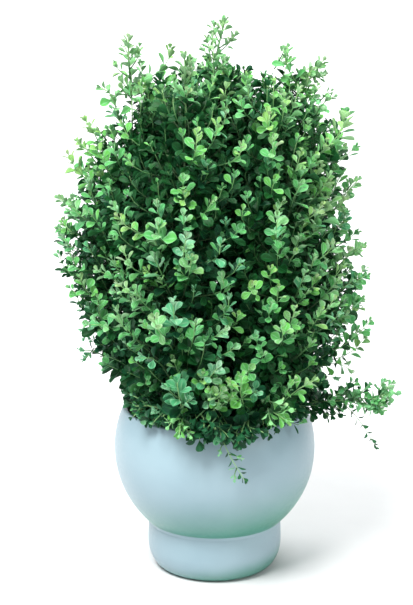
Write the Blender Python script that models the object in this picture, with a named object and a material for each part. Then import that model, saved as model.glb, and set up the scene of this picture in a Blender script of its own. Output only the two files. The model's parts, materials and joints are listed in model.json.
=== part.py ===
"""Artificial tabletop tree: leafy wire picks in a lift-out liner, in a globe pot on a rounded foot.

Metres, +Z up. The origin is the centre of the foot's underside, and -Y is the front.
Each pick is a plastic spike in dry foam, a bendable wire above it, and moulded leaf sprays threaded
on the wire. A spray is a plain closed solid here: it has the outer shape of its mass of leaves.
Inside a pick's own functions, points are (distance from the pot's axis, height) in the pick's plane.
"""

import math

import bmesh
import bpy
from mathutils import Matrix, Vector

# Pot
BOWL_RADIUS = 0.080  # outside of the globe
BOWL_WALL = 0.0045
RIM_ABOVE_CENTRE = 0.033  # height of the cut mouth above the globe's centre
BOWL_FLAT_RADIUS = 0.016  # small flat under the globe
FOOT_RADIUS = 0.0537  # widest point of the foot
FOOT_BASE_RADIUS = 0.0411  # flat face that stands on the table
FOOT_WAIST_Z = 0.0215  # height of the widest point
FOOT_CROWN = 0.052  # semi-axis of the foot's outline above its widest point
FOOT_HEIGHT = 0.0376
FOOT_EDGE = 0.0006  # width of the foot's top edge, inside which the globe sits
FOOT_WALL = 0.0045
SEAT_GAP = 0.0004  # between pieces that rest on each other

# Lift-out insert
LINER_BASE_RADIUS = 0.045
LINER_WALL = 0.0016
LINER_DROP = 0.0035  # liner's rim below the pot's rim
LINER_MOUTH_GAP = 0.0020  # liner's flange to the pot's mouth
FLANGE_WIDTH = 0.0028
FLANGE_THICKNESS = 0.0016
BALLAST_HEIGHT = 0.028
FOAM_HEIGHT = 0.048
COVER_THICKNESS = 0.0050
FILL_GAP = 0.0005  # round and between the ballast, the foam and the cover

# Crown of foliage
PICK_COUNT = 6
FIRST_PICK_ANGLE = 10.0  # degrees from +X
ROOT_RADIUS = 0.036  # where a pick of the ring enters the foam
RING_RADIUS_LOW = 0.073  # the ring's sprays, from the pot's axis
RING_RADIUS_MIDDLE = 0.076
RING_RADIUS_TOP = 0.064
CORE_RADIUS = 0.034  # sprays round the middle wire
SPRAY_LENGTH = 0.078
SPRAY_GAP = 0.0030  # between neighbouring sprays
RIM_CLEARANCE = 0.0095  # lowest sprays above the pot's rim
CORE_RISE = 0.028  # the core's sprays stand this much higher than the ring's
CORE_TOP_LENGTH = 0.066

# Wires and spikes
STEM_RADIUS = 0.0018
TWIG_RADIUS = 0.0012
BORE_CLEARANCE = 0.0006  # round a wire in its sprays
SPIKE_RADIUS = 0.0030
SPIKE_POINT_RADIUS = 0.0010
SPIKE_DEPTH = 0.038
SPIKE_STAND = 0.0006  # a spike's head above the cover
SPIKE_CLEARANCE = 0.0006
BEND_GAP = 0.0006  # a wire's end above its spike, where it bends
OUTLYING_ROOT_RADIUS = 0.046  # where the low branch and the trailer enter the foam

# Tip sprigs: pick number (0 is the core), how far it leans out, and its length
TIPS = {0: (14.0, 0.037), 1: (50.0, 0.029), 4: (3.0, 0.040), 5: (4.0, 0.026)}
LEAF_HOLLOW = 0.13  # how far the mass draws in between leaf tips, as a share of its radius
FULL = 3.2  # fullness of the low and middle sprays, which stack
DOMED = 2.4  # fullness of the top sprays
TIP_SPRAY_RADIUS = 0.0080
TIP_SPRAY_STAND = 0.0030  # a tip's leaves above its bend

# Outlying picks, which lean through the gaps between the ring's picks
LOW_BRANCH_ANGLE = FIRST_PICK_ANGLE - 180.0 / PICK_COUNT
LOW_BRANCH_REACH = 0.135
LOW_BRANCH_SPRAY_LENGTH = 0.034
LOW_BRANCH_SPRAY_RADIUS = 0.012
TRAILER_ANGLE = FIRST_PICK_ANGLE - 90.0
TRAILER_DROP = 0.028  # its tip below the pot's rim
TRAILER_STAND_OFF = 0.016  # its wire outside the globe
TRAILER_SPRAY_LENGTH = 0.030
TRAILER_SPRAY_RADIUS = 0.0070

TURN_STEPS = 36
SPRAY_STEPS = (14, 9)
SMALL_SPRAY_STEPS = (8, 6)

# Worked out from the above
FOOT_BULGE = FOOT_RADIUS - FOOT_BASE_RADIUS
FOOT_TOP_ANGLE = math.asin((FOOT_HEIGHT - FOOT_WAIST_Z) / FOOT_CROWN)
SEAT_RADIUS = FOOT_BASE_RADIUS + FOOT_BULGE * math.cos(FOOT_TOP_ANGLE) - FOOT_EDGE
BOWL_CENTRE_Z = FOOT_HEIGHT + math.sqrt((BOWL_RADIUS + SEAT_GAP) ** 2 - SEAT_RADIUS**2)
RIM_Z = BOWL_CENTRE_Z + RIM_ABOVE_CENTRE
BOWL_INNER_RADIUS = BOWL_RADIUS - BOWL_WALL
MOUTH_RADIUS = math.sqrt(BOWL_INNER_RADIUS**2 - RIM_ABOVE_CENTRE**2)
LINER_SEAT_RADIUS = BOWL_INNER_RADIUS - SEAT_GAP
LINER_FLOOR_Z = BOWL_CENTRE_Z - math.sqrt(LINER_SEAT_RADIUS**2 - LINER_BASE_RADIUS**2)
LINER_RIM_Z = RIM_Z - LINER_DROP
FLANGE_RADIUS = MOUTH_RADIUS - LINER_MOUTH_GAP
LINER_TOP_RADIUS = FLANGE_RADIUS - FLANGE_WIDTH
BALLAST_Z = LINER_FLOOR_Z + LINER_WALL + FILL_GAP
FOAM_Z = BALLAST_Z + BALLAST_HEIGHT + FILL_GAP
COVER_Z = FOAM_Z + FOAM_HEIGHT + FILL_GAP
COVER_TOP_Z = COVER_Z + COVER_THICKNESS
SPIKE_TOP_Z = COVER_TOP_Z + SPIKE_STAND
BEND_Z = SPIKE_TOP_Z + BEND_GAP
CORE_WIRE_FOOT_Z = SPIKE_TOP_Z - SPIKE_DEPTH + 3 * SPIKE_RADIUS  # where its hole reaches full width
LOW_Z = RIM_Z + RIM_CLEARANCE + SPRAY_LENGTH / 2
PITCH = SPRAY_LENGTH + SPRAY_GAP
CORE_TOP_Z = LOW_Z + CORE_RISE + 1.5 * PITCH + (CORE_TOP_LENGTH + SPRAY_GAP) / 2


def clear_scene():
    for obj in list(bpy.data.objects):
        bpy.data.objects.remove(obj)


def material(name, colour, roughness, metallic=0.0):
    made = bpy.data.materials.new(name)
    made.use_nodes = True
    shader = made.node_tree.nodes["Principled BSDF"]
    shader.inputs["Base Color"].default_value = (*colour, 1.0)
    shader.inputs["Roughness"].default_value = roughness
    shader.inputs["Metallic"].default_value = metallic
    return made


def add_object(name, mesh, finish, smooth=True):
    obj = bpy.data.objects.new(name, mesh)
    bpy.context.scene.collection.objects.link(obj)
    if finish:
        mesh.materials.append(finish)
    if smooth:
        mesh.shade_smooth()
        mesh.set_sharp_from_angle(angle=math.radians(40))
    return obj


def mesh_from(bm, name):
    bmesh.ops.recalc_face_normals(bm, faces=bm.faces)
    mesh = bpy.data.meshes.new(name)
    bm.to_mesh(mesh)
    bm.free()
    return mesh


def turned(name, outline, finish, steps=TURN_STEPS):
    """A solid of revolution, from an outline of (radius, height) that ends where it starts or on the axis."""
    bm = bmesh.new()
    corners = [bm.verts.new((r, 0, z)) for r, z in outline]
    pairs = list(zip(corners, corners[1:]))
    if outline[0][0] > 0:
        pairs.append((corners[-1], corners[0]))
    edges = [bm.edges.new(pair) for pair in pairs]
    whole = 2 * math.pi
    bmesh.ops.spin(
        bm, geom=corners + edges, axis=(0, 0, 1), cent=(0, 0, 0), angle=whole, steps=steps, use_merge=True
    )
    bmesh.ops.remove_doubles(bm, verts=bm.verts, dist=1e-6)
    return add_object(name, mesh_from(bm, name), finish)


def arc(centre, radii, start, end, steps):
    """Points (radius, height) on an ellipse's arc. Angles are in degrees above the horizontal."""
    found = []
    for i in range(steps + 1):
        a = math.radians(start + (end - start) * i / steps)
        found.append((centre[0] + radii[0] * math.cos(a), centre[1] + radii[1] * math.sin(a)))
    return found


def wire_mesh(name, points, radius, sides=6, samples=4):
    """A round wire through points, with closed ends, as a mesh."""
    curve = bpy.data.curves.new(name, "CURVE")
    curve.dimensions = "3D"
    curve.bevel_depth = radius
    curve.bevel_resolution = (sides - 4) // 2
    curve.resolution_u = samples
    curve.use_fill_caps = True
    spline = curve.splines.new("BEZIER")
    spline.bezier_points.add(len(points) - 1)
    for knot, point in zip(spline.bezier_points, points):
        knot.co = point
        knot.handle_left_type = knot.handle_right_type = "AUTO"
    guide = bpy.data.objects.new(name + "_line", curve)
    bpy.context.scene.collection.objects.link(guide)
    bm = bmesh.new()
    bm.from_mesh(bpy.data.meshes.new_from_object(guide))
    bpy.data.objects.remove(guide)
    bmesh.ops.remove_doubles(bm, verts=bm.verts, dist=1e-6)
    return mesh_from(bm, name)


def cutter(mesh):
    tool = add_object(mesh.name + "_cutter", mesh, None, smooth=False)
    tool.hide_render = True
    tool.display_type = "WIRE"
    return tool


def cut(obj, tool):
    boolean = obj.modifiers.new("cut_" + tool.name, "BOOLEAN")
    boolean.operation = "DIFFERENCE"
    boolean.object = tool


def spray_unit(steps, fullness):
    """The unit solid of a mass of leaves: rounded ends, and every other point drawn in between leaf tips."""
    around, up = steps
    bm = bmesh.new()
    rings = []
    for i in range(1, up):
        level = math.pi * i / up
        z = math.copysign(abs(math.cos(level)) ** (2 / fullness), math.cos(level))
        flat = math.sin(level) ** (2 / fullness)
        ring = []
        for j in range(around):
            reach = 1.0 - LEAF_HOLLOW * ((i + j) % 2)
            a = 2 * math.pi * j / around
            ring.append(bm.verts.new((reach * flat * math.cos(a), reach * flat * math.sin(a), z)))
        rings.append(ring)
    top, bottom = bm.verts.new((0, 0, 1)), bm.verts.new((0, 0, -1))
    for j in range(around):
        k = (j + 1) % around
        bm.faces.new((top, rings[0][j], rings[0][k]))
        bm.faces.new((bottom, rings[-1][k], rings[-1][j]))
        for upper, lower in zip(rings, rings[1:]):
            corners = (upper[j], lower[j], lower[k], upper[k])
            first = 0 if (rings.index(upper) + 1 + j) % 2 else 1
            bm.faces.new((corners[first], corners[first + 1], corners[first + 2]))
            bm.faces.new((corners[first], corners[first + 2], corners[(first + 3) % 4]))
    return bm


def spray(name, centre, semi_axes, direction, finish, steps=SPRAY_STEPS, fullness=2.0):
    """A mass of leaves, with semi_axes (radial, tangential, along direction). Fullness flattens its ends.
    centre and direction are in the pick's plane, which is turned to its place by the pick's empty."""
    bm = spray_unit(steps, fullness)
    lean = math.atan2(direction[0], direction[1])
    place = (
        Matrix.Translation((centre[0], 0, centre[1]))
        @ Matrix.Rotation(lean, 4, "Y")
        @ Matrix.Diagonal((*semi_axes, 1.0))
    )
    bmesh.ops.transform(bm, matrix=place, verts=bm.verts)
    return add_object(name, mesh_from(bm, name), finish)


def pick_empty(name, angle):
    """An empty on the pot's axis, turned so that its XZ plane is the pick's own plane."""
    empty = bpy.data.objects.new(name, None)
    empty.rotation_euler = (0, 0, math.radians(angle))
    bpy.context.scene.collection.objects.link(empty)
    return empty


def in_plane(points):
    return [Vector((r, 0, z)) for r, z in points]


def tangential_width(ring_radius, radial):
    """Half-width across the ring, so that a spray of half-width radial just clears its neighbours."""
    half = math.pi / PICK_COUNT
    to_plane = ring_radius * math.sin(half) - SPRAY_GAP / 2
    return math.sqrt(to_plane**2 - (radial * math.sin(half)) ** 2) / math.cos(half)


def spike_outline(extra=0.0):
    """A spike's outline, grown sideways by extra for the hole that it stands in."""
    top = SPIKE_TOP_Z if extra == 0 else COVER_TOP_Z + 2 * COVER_THICKNESS
    bottom = SPIKE_TOP_Z - SPIKE_DEPTH - extra
    shoulder = bottom + 3 * SPIKE_RADIUS
    return [
        (0, bottom),
        (SPIKE_POINT_RADIUS + extra, bottom),
        (SPIKE_RADIUS + extra, shoulder),
        (SPIKE_RADIUS + extra, top),
        (0, top),
    ]


def spike_places():
    """{pick name: (angle, distance from the axis)} of every spike in the foam."""
    ring = {
        f"pick_{n + 1}": (FIRST_PICK_ANGLE + 360.0 * n / PICK_COUNT, ROOT_RADIUS)
        for n in range(PICK_COUNT)
    }
    return {
        **ring,
        "low_branch": (LOW_BRANCH_ANGLE, OUTLYING_ROOT_RADIUS),
        "trailer": (TRAILER_ANGLE, OUTLYING_ROOT_RADIUS),
    }


def place_spike(obj, angle, radius):
    a = math.radians(angle)
    obj.location = (radius * math.cos(a), radius * math.sin(a), 0)


def make_pot(glaze):
    """The globe bowl with its cut, rounded mouth, and the foot that it sits in."""
    lip = BOWL_WALL / 2
    lip_z = RIM_Z - lip
    above = lip_z - BOWL_CENTRE_Z
    outer_mouth = math.degrees(math.asin(above / BOWL_RADIUS))
    inner_mouth = math.degrees(math.asin(above / BOWL_INNER_RADIUS))
    outer_base = -math.degrees(math.acos(BOWL_FLAT_RADIUS / BOWL_RADIUS))
    centre = (0, BOWL_CENTRE_Z)
    outside = arc(centre, (BOWL_RADIUS,) * 2, outer_base, outer_mouth, 12)
    inside = arc(centre, (BOWL_INNER_RADIUS,) * 2, inner_mouth, -90, 10)
    mid_lip = ((outside[-1][0] + inside[0][0]) / 2, lip_z)
    lip_semi = ((outside[-1][0] - inside[0][0]) / 2, lip)
    rounded = arc(mid_lip, lip_semi, 0, 180, 4)[1:-1]
    inside[-1] = (0, inside[-1][1])
    turned("bowl", [(0, outside[0][1]), *outside, *rounded, *inside], glaze)

    waist = (FOOT_BASE_RADIUS, FOOT_WAIST_Z)
    below = arc(waist, (FOOT_BULGE, FOOT_WAIST_Z), -90, 0, 8)
    over = arc(waist, (FOOT_BULGE, FOOT_CROWN), 0, math.degrees(FOOT_TOP_ANGLE), 3)[1:]
    seat_low_z = FOOT_HEIGHT - 0.7 * FOOT_WALL
    seat_low = math.sqrt((BOWL_RADIUS + SEAT_GAP) ** 2 - (BOWL_CENTRE_Z - seat_low_z) ** 2)
    hollow = (FOOT_BASE_RADIUS, FOOT_WAIST_Z)
    hollow_semi = (FOOT_BULGE - FOOT_WALL, FOOT_WAIST_Z - FOOT_WALL)
    within = arc(hollow, hollow_semi, 0, -90, 6)
    seat = [(SEAT_RADIUS, FOOT_HEIGHT), (seat_low, seat_low_z)]
    turned("foot_ring", [(0, 0), *below, *over, *seat, *within, (0, FOOT_WALL)], glaze)


def filling_radius(z):
    """A filling's radius at height z, clear of the inside of the liner's tapered wall."""
    floor = LINER_FLOOR_Z + LINER_WALL
    share = (z - floor) / (LINER_RIM_Z - floor)
    return LINER_BASE_RADIUS + share * (LINER_TOP_RADIUS - LINER_BASE_RADIUS) - LINER_WALL - FILL_GAP


def filling(name, z, height, finish):
    """A plug that fills the liner from z up."""
    top = z + height
    outline = [(0, z), (filling_radius(z), z), (filling_radius(top), top), (0, top)]
    return turned(name, outline, finish)


def make_insert(liner_black, cement, foam_green, moss):
    """The liner cup, cement ballast, dry foam and moss cover. Foam and cover have a hole for each spike."""
    flange_z = LINER_RIM_Z - FLANGE_THICKNESS
    inner_top = LINER_TOP_RADIUS - LINER_WALL
    inner_base = LINER_BASE_RADIUS - LINER_WALL
    turned(
        "liner_cup",
        [
            (0, LINER_FLOOR_Z),
            (LINER_BASE_RADIUS - LINER_WALL, LINER_FLOOR_Z),
            (LINER_BASE_RADIUS, LINER_FLOOR_Z + LINER_WALL),
            (LINER_TOP_RADIUS, flange_z),
            (FLANGE_RADIUS, flange_z),
            (FLANGE_RADIUS, LINER_RIM_Z),
            (inner_top, LINER_RIM_Z),
            (inner_base, LINER_FLOOR_Z + LINER_WALL),
            (0, LINER_FLOOR_Z + LINER_WALL),
        ],
        liner_black,
    )
    filling("ballast", BALLAST_Z, BALLAST_HEIGHT, cement)
    foam = filling("foam_core", FOAM_Z, FOAM_HEIGHT, foam_green)
    cover = filling("moss_cover", COVER_Z, COVER_THICKNESS, moss)
    places = {**spike_places(), "core": (0.0, 0.0)}
    for name, (angle, radius) in places.items():
        hole = turned(name + "_hole", spike_outline(SPIKE_CLEARANCE), None, steps=8)
        place_spike(hole, angle, radius)
        hole.hide_render = True
        hole.display_type = "WIRE"
        cut(foam, hole)
        cut(cover, hole)


def make_spikes(plastic):
    for name, (angle, radius) in spike_places().items():
        place_spike(turned(name + "_spike", spike_outline(), plastic, steps=8), angle, radius)


def threaded(prefix, empty, path, radius, sprays, wire, leaves, bored=None):
    """A wire along path, and its sprays bored to clear it. Sprays are {name: arguments of spray}."""
    line = in_plane(path)
    stem = add_object(f"{prefix}_stem", wire_mesh(f"{prefix}_stem", line, radius), wire)
    stem.parent = empty
    tool = cutter(wire_mesh(f"{prefix}_bore", in_plane(bored or path), radius + BORE_CLEARANCE))
    tool.parent = empty
    for name, (centre, semi_axes, direction, *detail) in sprays.items():
        mass = spray(f"{prefix}_{name}", centre, semi_axes, direction, leaves, *detail)
        mass.parent = empty
        cut(mass, tool)


def blind_end(path, extra=2 * BORE_CLEARANCE):
    """The same path run on by extra past its end, for a bore that a wire stops in."""
    (r0, z0), (r1, z1) = path[-2:]
    length = math.hypot(r1 - r0, z1 - z0)
    return [*path[:-1], (r1 + (r1 - r0) * extra / length, z1 + (z1 - z0) * extra / length)]


def upright_start(root_radius, wire_radius):
    """A wire's first two knots, straight up out of its spike, so that its end is flat over the spike's head."""
    return [(root_radius, BEND_Z), (root_radius, BEND_Z + 2 * wire_radius)]


def make_ring_pick(number, wire, leaves):
    """One pick of the ring: a wire that leans out to the ring and stands up through three sprays."""
    name = f"pick_{number}"
    empty = pick_empty(name, FIRST_PICK_ANGLE + 360.0 * (number - 1) / PICK_COUNT)
    middle_z, top_z = LOW_Z + PITCH, LOW_Z + 2 * PITCH
    end_z = top_z + SPRAY_LENGTH / 2 + TIP_SPRAY_STAND if number in TIPS else top_z + SPRAY_LENGTH / 4
    elbow = (ROOT_RADIUS + 0.55 * (RING_RADIUS_LOW - ROOT_RADIUS), (BEND_Z + LOW_Z) / 2 - STEM_RADIUS)
    path = [
        *upright_start(ROOT_RADIUS, STEM_RADIUS),
        elbow,
        (RING_RADIUS_LOW, LOW_Z),
        (RING_RADIUS_MIDDLE, middle_z),
        (RING_RADIUS_TOP, top_z),
        (RING_RADIUS_TOP, end_z),
    ]
    upright = (0.0, 1.0)
    sprays = {}
    for part, ring_radius, z, fullness in (
        ("spray_low", RING_RADIUS_LOW, LOW_Z, FULL),
        ("spray_middle", RING_RADIUS_MIDDLE, middle_z, FULL),
        ("spray_top", RING_RADIUS_TOP, top_z, DOMED),
    ):
        radial = ring_radius - CORE_RADIUS - SPRAY_GAP
        semi_axes = (radial, tangential_width(ring_radius, radial), SPRAY_LENGTH / 2)
        sprays[part] = ((ring_radius, z), semi_axes, upright, SPRAY_STEPS, fullness)
    threaded(name, empty, path, STEM_RADIUS, sprays, wire, leaves, blind_end(path))
    return empty, (RING_RADIUS_TOP, end_z)


def make_core(wire, leaves):
    """The middle pick, which doesn't bend: its wire goes straight down into the foam."""
    empty = pick_empty("core", 0.0)
    end_z = CORE_TOP_Z + CORE_TOP_LENGTH / 2 + TIP_SPRAY_STAND
    low_z = LOW_Z + CORE_RISE
    middle_z = low_z + PITCH
    path = [(0, CORE_WIRE_FOOT_Z), (0, low_z), (0, middle_z), (0, CORE_TOP_Z), (0, end_z)]
    wide = (CORE_RADIUS, CORE_RADIUS)
    upright = (0.0, 1.0)
    sprays = {
        "spray_low": ((0, low_z), (*wide, SPRAY_LENGTH / 2), upright, SPRAY_STEPS, FULL),
        "spray_middle": ((0, middle_z), (*wide, SPRAY_LENGTH / 2), upright, SPRAY_STEPS, FULL),
        "spray_top": ((0, CORE_TOP_Z), (*wide, CORE_TOP_LENGTH / 2), upright, SPRAY_STEPS, DOMED),
    }
    threaded("core", empty, path, STEM_RADIUS, sprays, wire, leaves, blind_end(path))
    return empty, (0.0, end_z)


def make_tip(number, empty, top, wire, leaves):
    """The sprig that stands out of a pick's top on its own short wire, and bends where that wire starts."""
    lean, length = TIPS[number]
    direction = (math.sin(math.radians(lean)), math.cos(math.radians(lean)))

    def along(distance):
        return (top[0] + distance * direction[0], top[1] + BEND_GAP + distance * direction[1])

    half = (length - TIP_SPRAY_STAND) / 2
    path = [along(TWIG_RADIUS), along(length / 3), along(TIP_SPRAY_STAND + half)]
    sprays = {
        "leaves": (
            along(TIP_SPRAY_STAND + half),
            (TIP_SPRAY_RADIUS, TIP_SPRAY_RADIUS, half),
            direction,
            SMALL_SPRAY_STEPS,
        )
    }
    threaded(f"tip_{number}", empty, path, TWIG_RADIUS, sprays, wire, leaves, blind_end(path))


def make_low_branch(wire, leaves):
    """The long branch that leaves the foam between two ring picks and reaches out over the rim."""
    empty = pick_empty("low_branch", LOW_BRANCH_ANGLE)
    over_rim = RIM_Z + RIM_CLEARANCE
    tip = (LOW_BRANCH_REACH, over_rim + 0.14 * (LOW_BRANCH_REACH - BOWL_RADIUS))
    inner = (tip[0] - LOW_BRANCH_SPRAY_LENGTH - SPRAY_GAP, tip[1] - 0.1 * LOW_BRANCH_SPRAY_LENGTH)
    path = [
        *upright_start(OUTLYING_ROOT_RADIUS, TWIG_RADIUS),
        ((OUTLYING_ROOT_RADIUS + MOUTH_RADIUS) / 2, (BEND_Z + over_rim) / 2 + 2 * TWIG_RADIUS),
        (BOWL_RADIUS, over_rim),
        inner,
        tip,
    ]
    direction = (tip[0] - inner[0], tip[1] - inner[1])
    semi_axes = (LOW_BRANCH_SPRAY_RADIUS, LOW_BRANCH_SPRAY_RADIUS, LOW_BRANCH_SPRAY_LENGTH / 2)
    sprays = {
        "spray_inner": (inner, semi_axes, direction, SMALL_SPRAY_STEPS),
        "spray_tip": (tip, semi_axes, direction, SMALL_SPRAY_STEPS),
    }
    threaded("low_branch", empty, path, TWIG_RADIUS, sprays, wire, leaves, blind_end(path))


def make_trailer(wire, leaves):
    """The front sprig that arches over the rim and hangs outside the bowl."""
    empty = pick_empty("trailer", TRAILER_ANGLE)
    over_rim = RIM_Z + RIM_CLEARANCE
    hang_radius = BOWL_RADIUS + TRAILER_STAND_OFF
    end = (hang_radius + TWIG_RADIUS, RIM_Z - TRAILER_DROP + TRAILER_SPRAY_LENGTH / 2)
    path = [
        *upright_start(OUTLYING_ROOT_RADIUS, TWIG_RADIUS),
        ((OUTLYING_ROOT_RADIUS + MOUTH_RADIUS) / 2, over_rim - TWIG_RADIUS),
        (MOUTH_RADIUS + BOWL_WALL, over_rim + 2 * TWIG_RADIUS),
        (hang_radius - 4 * TWIG_RADIUS, over_rim - 3 * TWIG_RADIUS),
        end,
    ]
    semi_axes = (TRAILER_SPRAY_RADIUS, TRAILER_SPRAY_RADIUS, TRAILER_SPRAY_LENGTH / 2)
    sprays = {"spray": (end, semi_axes, (-0.15, 1.0), SMALL_SPRAY_STEPS)}
    threaded("trailer", empty, path, TWIG_RADIUS, sprays, wire, leaves, blind_end(path))


def main():
    clear_scene()
    glaze = material("pot_glaze", (0.60, 0.70, 0.76), 0.35)
    liner_black = material("liner_plastic", (0.012, 0.015, 0.014), 0.55)
    cement = material("cement", (0.36, 0.35, 0.33), 0.9)
    foam_green = material("dry_foam", (0.05, 0.12, 0.06), 0.95)
    moss = material("moss", (0.020, 0.035, 0.015), 0.95)
    spike_plastic = material("spike_plastic", (0.03, 0.10, 0.04), 0.5)
    wire = material("stem_plastic", (0.10, 0.25, 0.09), 0.5)
    leaves = material("leaf_plastic", (0.12, 0.33, 0.12), 0.45)

    make_pot(glaze)
    make_insert(liner_black, cement, foam_green, moss)
    make_spikes(spike_plastic)
    tops = {0: make_core(wire, leaves)}
    for number in range(1, PICK_COUNT + 1):
        tops[number] = make_ring_pick(number, wire, leaves)
    for number in TIPS:
        empty, top = tops[number]
        make_tip(number, empty, top, wire, leaves)
    make_low_branch(wire, leaves)
    make_trailer(wire, leaves)


main()
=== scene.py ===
"""The looks of the artificial tabletop tree: its leaves, twigs, moss, glazed pot and every material.

Metres, +Z up, -Y to the front. The CAD's leafy sprays are plain solids. Here each one is replaced by a mesh
of separate leaves and one of the twigs that carry them, both riding on the spray's own body. The leaves
nearest the rim are a piece of their own, which rides on the insert.
A leaf's attributes say where on the leaf a point is (leaf_place) and what kind of leaf it is, with its age and
the painted shade that darkens it deep in the crown (leaf_kind).
"""

import json
import math
from math import atan2, cos, hypot, pi, radians, sin, sqrt

import bmesh
import bpy
import numpy as np
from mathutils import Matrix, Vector

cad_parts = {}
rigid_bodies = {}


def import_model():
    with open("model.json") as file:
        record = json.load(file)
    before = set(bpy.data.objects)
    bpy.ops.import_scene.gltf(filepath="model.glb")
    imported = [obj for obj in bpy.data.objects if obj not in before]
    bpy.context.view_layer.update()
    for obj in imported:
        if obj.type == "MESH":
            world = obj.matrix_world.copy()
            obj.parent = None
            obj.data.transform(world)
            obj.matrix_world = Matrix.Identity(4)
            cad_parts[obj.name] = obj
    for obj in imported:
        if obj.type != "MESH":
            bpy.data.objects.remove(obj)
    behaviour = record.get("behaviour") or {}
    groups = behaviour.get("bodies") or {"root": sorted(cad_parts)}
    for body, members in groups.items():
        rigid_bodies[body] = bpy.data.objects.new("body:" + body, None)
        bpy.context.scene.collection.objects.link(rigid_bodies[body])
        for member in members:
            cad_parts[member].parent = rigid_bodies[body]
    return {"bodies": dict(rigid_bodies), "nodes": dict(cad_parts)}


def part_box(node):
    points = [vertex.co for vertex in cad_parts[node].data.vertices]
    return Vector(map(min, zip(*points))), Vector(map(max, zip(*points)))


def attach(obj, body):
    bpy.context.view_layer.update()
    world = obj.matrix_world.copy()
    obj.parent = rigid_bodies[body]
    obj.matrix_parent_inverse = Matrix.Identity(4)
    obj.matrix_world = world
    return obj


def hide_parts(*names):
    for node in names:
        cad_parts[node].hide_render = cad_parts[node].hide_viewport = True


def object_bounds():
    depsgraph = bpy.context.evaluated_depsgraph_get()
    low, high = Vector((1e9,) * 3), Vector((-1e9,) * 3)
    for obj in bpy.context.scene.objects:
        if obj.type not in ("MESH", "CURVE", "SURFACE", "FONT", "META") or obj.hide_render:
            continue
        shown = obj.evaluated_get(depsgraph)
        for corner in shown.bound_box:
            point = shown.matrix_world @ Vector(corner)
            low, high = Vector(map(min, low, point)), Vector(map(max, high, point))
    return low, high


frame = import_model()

CAD_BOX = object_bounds()
SEED = 20

# Leaves
FINE = ((0.12, 0.32, 0.53, 0.72, 0.87, 0.96), (-1.0, -0.5, 0.0, 0.5, 1.0))  # rows along a leaf, columns across
COARSE = ((0.25, 0.60, 0.88), (-1.0, 0.0, 1.0))
LEAF_THICKNESS = 0.035  # of the leaf's length
LEAF_FORMS = 6  # differently cupped and curled leaves
TONES = 8
AGE_AND_SHADE_STEPS = 4
LEAF_LENGTH = (0.0078, 0.0110)  # of a grown leaf, smallest and largest
BIG_LEAF_LENGTH = (0.0110, 0.0142)
LEAF_SCATTER = 0.16  # radians that a leaf strays from its place in a pair
FACE_SCATTER = 0.26  # and that it turns about itself

# The first three pairs from a twig's end are smaller, and closer to the twig and to each other
TIP_SCALES = (0.46, 0.66, 0.84)
TIP_SPREADS = (0.42, 0.72, 0.95)
TIP_SPACINGS = (0.42, 0.66, 0.85)
SPREAD = 1.12  # radians between a leaf and its twig
FIRST_PAIR_BACK = 0.0006  # from the twig's end
LEAFY_SHARE = 0.92  # of a twig's length, at most
AGE_PER_PAIR = 0.07
SHADE_INSIDE = 0.80  # painted shade, added to a leaf's darkness at DEPTH_OF_SHADE
COARSE_SHARE = 0.45  # of DEPTH_OF_SHADE, beyond which leaves have the coarse forms

# The colours of a young leaf to an old one, darker still with painted shade deep in the crown: the
# yellow-green, green and blue-green kinds, the painted shade in the middle of a leaf of any kind, and the pale
# colour of the edges, there a painted highlight, and of the ribs and undersides
AGE_AND_SHADE_PLACES = (0.0, 0.34, 0.67, 1.0)
LEAF_COLOURS = (
    ((0.28, 0.44, 0.105), (0.21, 0.45, 0.080), (0.115, 0.42, 0.055), (0.005, 0.066, 0.006)),
    ((0.21, 0.40, 0.155), (0.145, 0.40, 0.130), (0.072, 0.35, 0.080), (0.003, 0.053, 0.008)),
    ((0.16, 0.36, 0.220), (0.105, 0.35, 0.190), (0.055, 0.30, 0.135), (0.002, 0.046, 0.020)),
    ((0.12, 0.31, 0.090), (0.070, 0.29, 0.075), (0.030, 0.21, 0.052), (0.001, 0.028, 0.005)),
    ((0.46, 0.60, 0.41), (0.40, 0.61, 0.39), (0.29, 0.58, 0.33), (0.018, 0.14, 0.045)),
)

# Twigs
TWIG_RADIUS = 0.00055
TWIG_SIDES = 5
TWIG_STEPS = 7
PAIR_SPACING = (0.0062, 0.0080)
LEAFY_LENGTH = 0.040  # a twig is bare further from its end than this

# Layers of twigs in the crown: how many, and their ends' share of the crown's radius
LAYERS = ((660, 0.95), (400, 0.80), (300, 0.60), (150, 0.36))
RISE = (0.022, 0.044)  # from where a side twig leaves its wire up to its end
PROUD_SHARE = 0.20  # of the outer twigs stand out of the crown
PROUD = (0.006, 0.018)
SUNK = (-0.007, 0.002)  # where the others end, from the crown's surface
SHORTEST_TWIG = 0.012
CORE_REACH = 0.034  # a twig that ends nearer the axis than this grows from the middle wire
END_MARGIN = 0.0070  # a twig may end this far outside the CAD's box
CORE_TWIGS_PER_METRE = 420
COLLAR_TWIGS = 190
COLLAR = "rim_collar"  # the low leaves all round the rim, which stay in place when a pick is bent
COLLAR_TOP_Z = 0.154
DRAPE_TWIGS = 84
DRAPE_ANGLE = radians(-82)  # the middle of the stretch where the crown hangs over the rim
DEPTH_OF_SHADE = 0.036  # leaves this far inside the crown get the full painted shade
# How the crown departs from a round one: direction in degrees, height, reach added, and the bump's half-width
# in direction and in height
BUMPS = (
    (180, 0.258, 0.016, 45, 0.018),
    (180, 0.199, -0.013, 55, 0.016),
    (180, 0.322, -0.008, 45, 0.012),
    (190, 0.370, -0.036, 50, 0.016),
    (0, 0.291, -0.024, 55, 0.036),
    (0, 0.225, 0.010, 40, 0.014),
    (208, 0.138, -0.036, 68, 0.026),
)
GOLDEN_ANGLE = pi * (3 - sqrt(5))

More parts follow.
